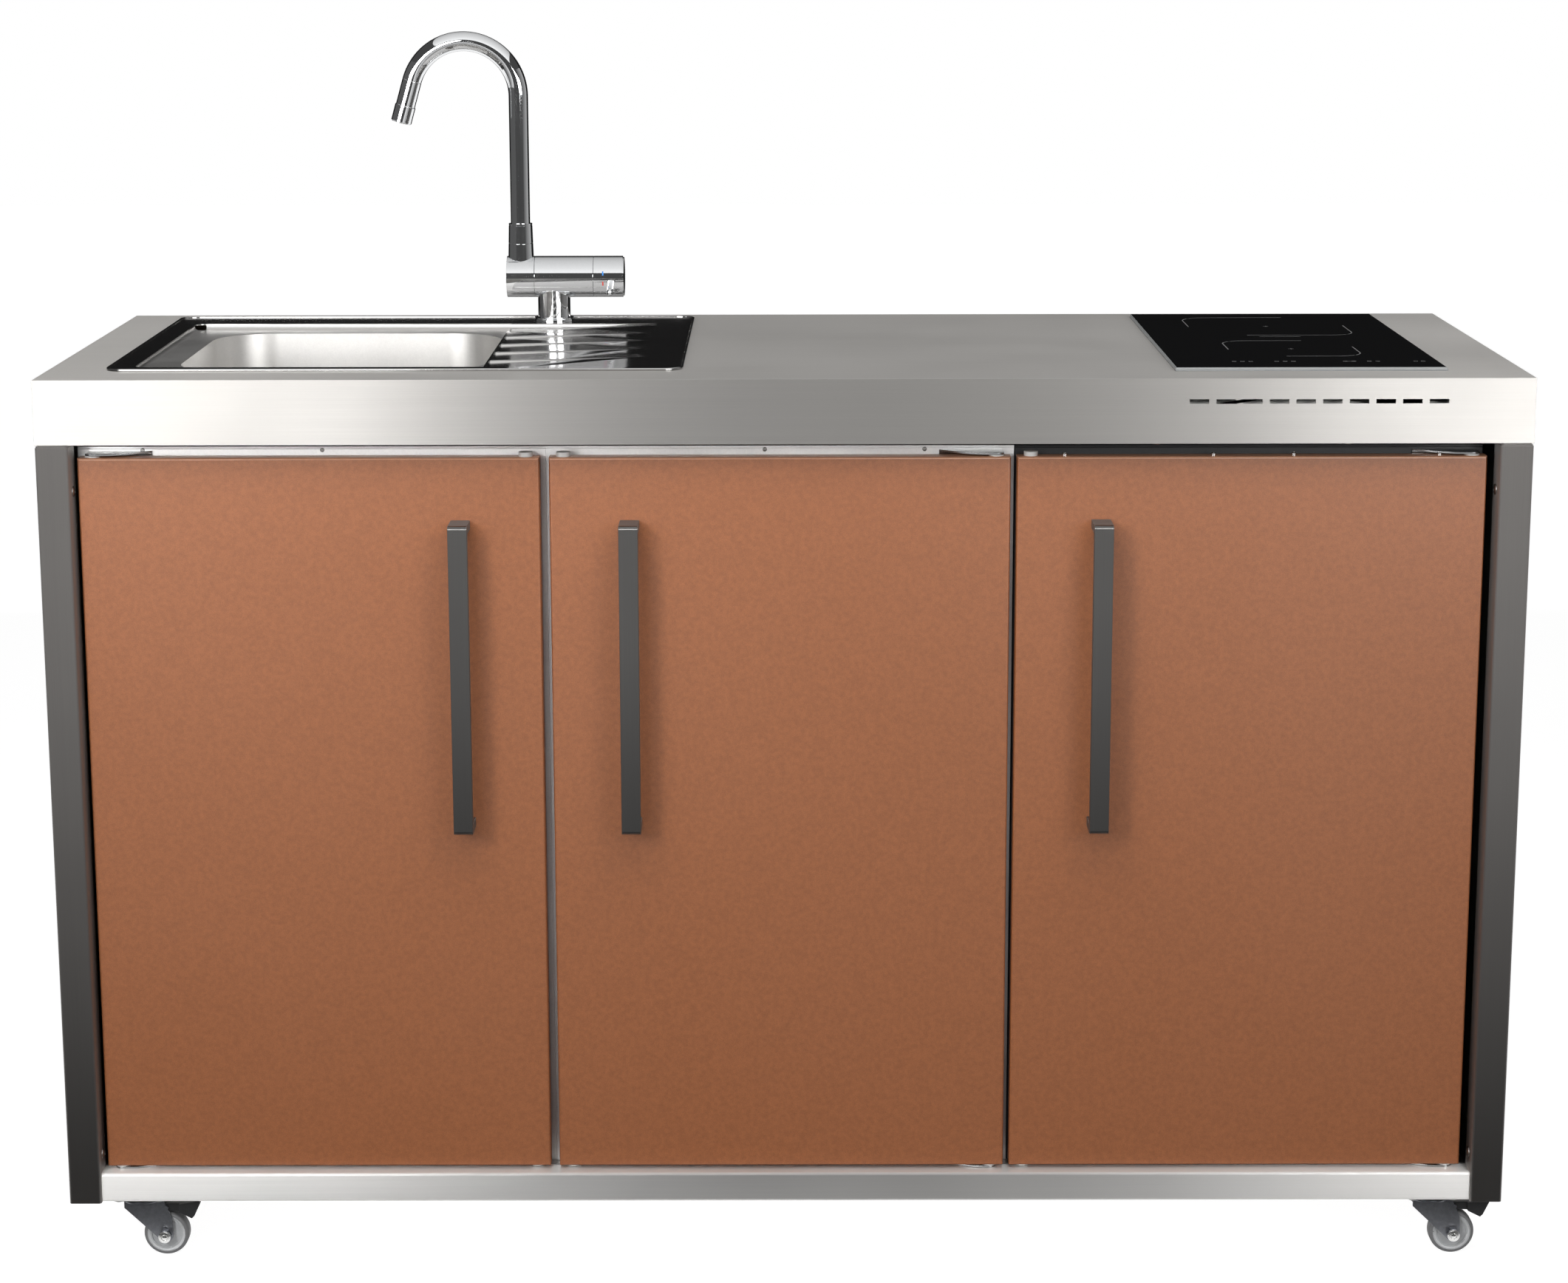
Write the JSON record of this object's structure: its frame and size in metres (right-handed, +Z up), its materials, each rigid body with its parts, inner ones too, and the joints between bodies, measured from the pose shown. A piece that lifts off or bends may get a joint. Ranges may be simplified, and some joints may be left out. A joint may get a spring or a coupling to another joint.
{
  "type": "outdoor kitchen unit",
  "caption": "Free-standing outdoor kitchen on castors: steel worktop with sink, folding tap and touch hob over cabinets and a fridge with hinged copper-brown doors.",
  "frame": {"origin": "on the floor under the middle of the unit's footprint, door handles included", "axes": "+X to the right along the long side, +Y to the back (the doors face -Y), +Z up"},
  "size_m": [1.58, 0.622, 1.3302],
  "materials": {
    "steel_top": "brushed stainless sheet",
    "post_steel": "dark brushed stainless tube",
    "rail_steel": "bright brushed stainless tube",
    "pan_steel": "plain stainless sheet",
    "panel_steel": "brushed stainless sheet",
    "sink_steel": "pressed satin stainless",
    "core_board": "moisture-proof board",
    "screw_steel": "steel",
    "cabinet_steel": "light grey coated sheet steel",
    "door_paint": "copper-brown fine-texture powder coat",
    "liner_paint": "light grey coated sheet steel",
    "handle_steel": "brushed stainless bar",
    "white_plastic": "moulded",
    "drain_plastic": "moulded",
    "tap_chrome": "polished",
    "aerator_chrome": "polished",
    "hinge_chrome": "bright zinc plated",
    "hob_glass": "black ceramic glass",
    "hob_metal": "zinc coated sheet steel",
    "coil_wire": "wound coil on a carrier",
    "fridge_shell": "dark coated shell",
    "fridge_liner": "moulded liner",
    "shelf_glass": "toughened glass",
    "seal_rubber": "soft seal",
    "compressor_paint": "black paint",
    "inlet_brass": "machined",
    "castor_zinc": "dark zinc plated steel",
    "castor_plate": "zinc plated steel",
    "castor_wheel": "grey tread on a plastic hub",
    "pedal_black": "black"
  },
  "bodies": {
    "unit": {"worktop": "steel_top", "worktop_core": "core_board", "worktop_frame": "pan_steel", "front_left_post": "post_steel", "front_right_post": "post_steel", "back_left_post": "post_steel", "back_right_post": "post_steel", "long_rails": "rail_steel", "side_rails": "rail_steel", "base_pan": "pan_steel", "side_panels": "panel_steel", "back_panel": "panel_steel", "frame_screws": "screw_steel", "left_cabinet": "cabinet_steel", "middle_cabinet": "cabinet_steel", "cabinet_shelf": "cabinet_steel", "sink": "sink_steel", "sink_waste": "sink_steel", "drain_trap": "drain_plastic", "tap_body": "tap_chrome", "hob_glass": "hob_glass", "hob_case": "hob_metal", "hob_coils": "coil_wire", "fridge_body": "fridge_shell", "fridge_liner": "fridge_liner", "fridge_shelves": "shelf_glass", "compressor": "compressor_paint", "service_inlets": "inlet_brass", "hinge_brackets": "hinge_chrome", "castor_plates": "castor_plate"},
    "left_door": {"left_door": "door_paint", "left_door_liner": "liner_paint", "left_handle": "handle_steel", "left_door_bushes": "white_plastic"},
    "middle_door": {"middle_door": "door_paint", "middle_door_liner": "liner_paint", "middle_handle": "handle_steel", "middle_door_bushes": "white_plastic"},
    "fridge_door": {"right_door": "door_paint", "right_door_liner": "fridge_liner", "right_handle": "handle_steel", "right_door_bushes": "white_plastic", "fridge_gasket": "seal_rubber"},
    "strainer": {"strainer_basket": "sink_steel"},
    "tap_middle": {"tap_fold": "tap_chrome"},
    "tap_spout": {"tap_spout": "tap_chrome", "tap_aerator": "aerator_chrome"},
    "tap_mixer": {"tap_cap": "tap_chrome", "tap_lever": "tap_chrome"},
    "thermostat": {"thermostat_knob": "white_plastic"},
    "front_left_castor": {"front_left_fork": "castor_zinc"},
    "front_left_wheel": {"front_left_wheel": "castor_wheel"},
    "front_right_castor": {"front_right_fork": "castor_zinc"},
    "front_right_wheel": {"front_right_wheel": "castor_wheel"},
    "back_left_castor": {"back_left_fork": "castor_zinc"},
    "back_left_wheel": {"back_left_wheel": "castor_wheel"},
    "back_right_castor": {"back_right_fork": "castor_zinc"},
    "back_right_wheel": {"back_right_wheel": "castor_wheel"},
    "left_brake": {"left_brake_pedal": "pedal_black"},
    "right_brake": {"right_brake_pedal": "pedal_black"}
  },
  "joints": [
    {"name": "left_door_hinge", "type": "hinge", "parent": "unit", "child": "left_door", "pos_m": [-0.7345, -0.261, 0.11], "axis": [0, 0, -1], "range_deg": [0, 100]},
    {"name": "middle_door_hinge", "type": "hinge", "parent": "unit", "child": "middle_door", "pos_m": [0.2255, -0.261, 0.11], "axis": [0, 0, 1], "range_deg": [0, 100]},
    {"name": "fridge_door_hinge", "type": "hinge", "parent": "unit", "child": "fridge_door", "pos_m": [0.73, -0.261, 0.11], "axis": [0, 0, 1], "range_deg": [0, 100]},
    {"name": "tap_folding", "type": "hinge", "parent": "unit", "child": "tap_middle", "pos_m": [-0.31425, 0.239, 1.0412], "axis": [1, 0, 0], "range_deg": [0, 90]},
    {"name": "spout_swivel", "type": "hinge", "parent": "tap_middle", "child": "tap_spout", "pos_m": [-0.31425, 0.239, 1.11], "axis": [0, 0, 1], "range_deg": [-90, 180]},
    {"name": "mixer_lever", "type": "hinge", "parent": "unit", "child": "tap_mixer", "pos_m": [-0.20925, 0.239, 1.0412], "axis": [1, 0, 0], "range_deg": [-60, 30]},
    {"name": "strainer_lift", "type": "slide", "parent": "unit", "child": "strainer", "axis": [0, 0, 1], "range_m": [0, 0.04]},
    {"name": "thermostat_turn", "type": "hinge", "parent": "unit", "child": "thermostat", "pos_m": [0.496, -0.1393, 0.8546], "axis": [0, -1, 0], "range_deg": [0, 270]},
    {"name": "front_left_swivel", "type": "hinge", "parent": "unit", "child": "front_left_castor", "pos_m": [-0.717, -0.247, 0.065], "axis": [0, 0, 1], "continuous": true},
    {"name": "front_left_roll", "type": "hinge", "parent": "front_left_castor", "child": "front_left_wheel", "pos_m": [-0.691, -0.247, 0.025], "axis": [0, 1, 0], "continuous": true},
    {"name": "front_right_swivel", "type": "hinge", "parent": "unit", "child": "front_right_castor", "pos_m": [0.717, -0.247, 0.065], "axis": [0, 0, 1], "continuous": true},
    {"name": "front_right_roll", "type": "hinge", "parent": "front_right_castor", "child": "front_right_wheel", "pos_m": [0.743, -0.247, 0.025], "axis": [0, 1, 0], "continuous": true},
    {"name": "back_left_swivel", "type": "hinge", "parent": "unit", "child": "back_left_castor", "pos_m": [-0.717, 0.269, 0.065], "axis": [0, 0, 1], "continuous": true},
    {"name": "back_left_roll", "type": "hinge", "parent": "back_left_castor", "child": "back_left_wheel", "pos_m": [-0.691, 0.269, 0.025], "axis": [0, 1, 0], "continuous": true},
    {"name": "back_right_swivel", "type": "hinge", "parent": "unit", "child": "back_right_castor", "pos_m": [0.717, 0.269, 0.065], "axis": [0, 0, 1], "continuous": true},
    {"name": "back_right_roll", "type": "hinge", "parent": "back_right_castor", "child": "back_right_wheel", "pos_m": [0.743, 0.269, 0.025], "axis": [0, 1, 0], "continuous": true},
    {"name": "left_brake_press", "type": "hinge", "parent": "front_left_castor", "child": "left_brake", "pos_m": [-0.689, -0.247, 0.0567], "axis": [0, 1, 0], "range_deg": [0, 17]},
    {"name": "right_brake_press", "type": "hinge", "parent": "front_right_castor", "child": "right_brake", "pos_m": [0.745, -0.247, 0.0567], "axis": [0, 1, 0], "range_deg": [0, 17]}
  ]
}
